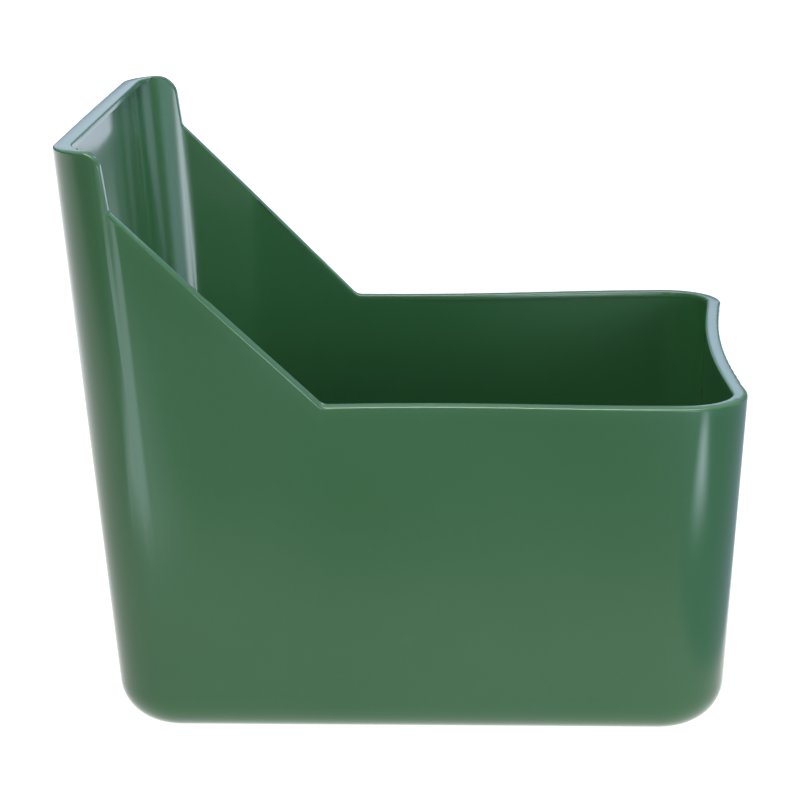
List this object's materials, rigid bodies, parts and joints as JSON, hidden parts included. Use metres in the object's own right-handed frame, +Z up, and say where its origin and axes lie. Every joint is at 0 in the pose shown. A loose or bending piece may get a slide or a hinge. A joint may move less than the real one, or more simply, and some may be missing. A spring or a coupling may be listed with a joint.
{
  "type": "livestock feed trough",
  "caption": "Moulded plastic feed trough with a level rim, a dished front lip, a high leaning back and short ears that slope down to the rim.",
  "frame": {"origin": "on the flat base, under the middle of the tub's overall length and width", "axes": "+X towards the front lip, away from the high back; +Z up; +Y across the tub, to the left of an animal that eats from the front lip"},
  "size_m": [0.3398, 0.2808, 0.303],
  "materials": {
    "green_plastic": "glossy moulded green polypropylene with faint scuffs"
  },
  "bodies": {
    "root": {"trough_tub": "green_plastic"}
  },
  "joints": []
}
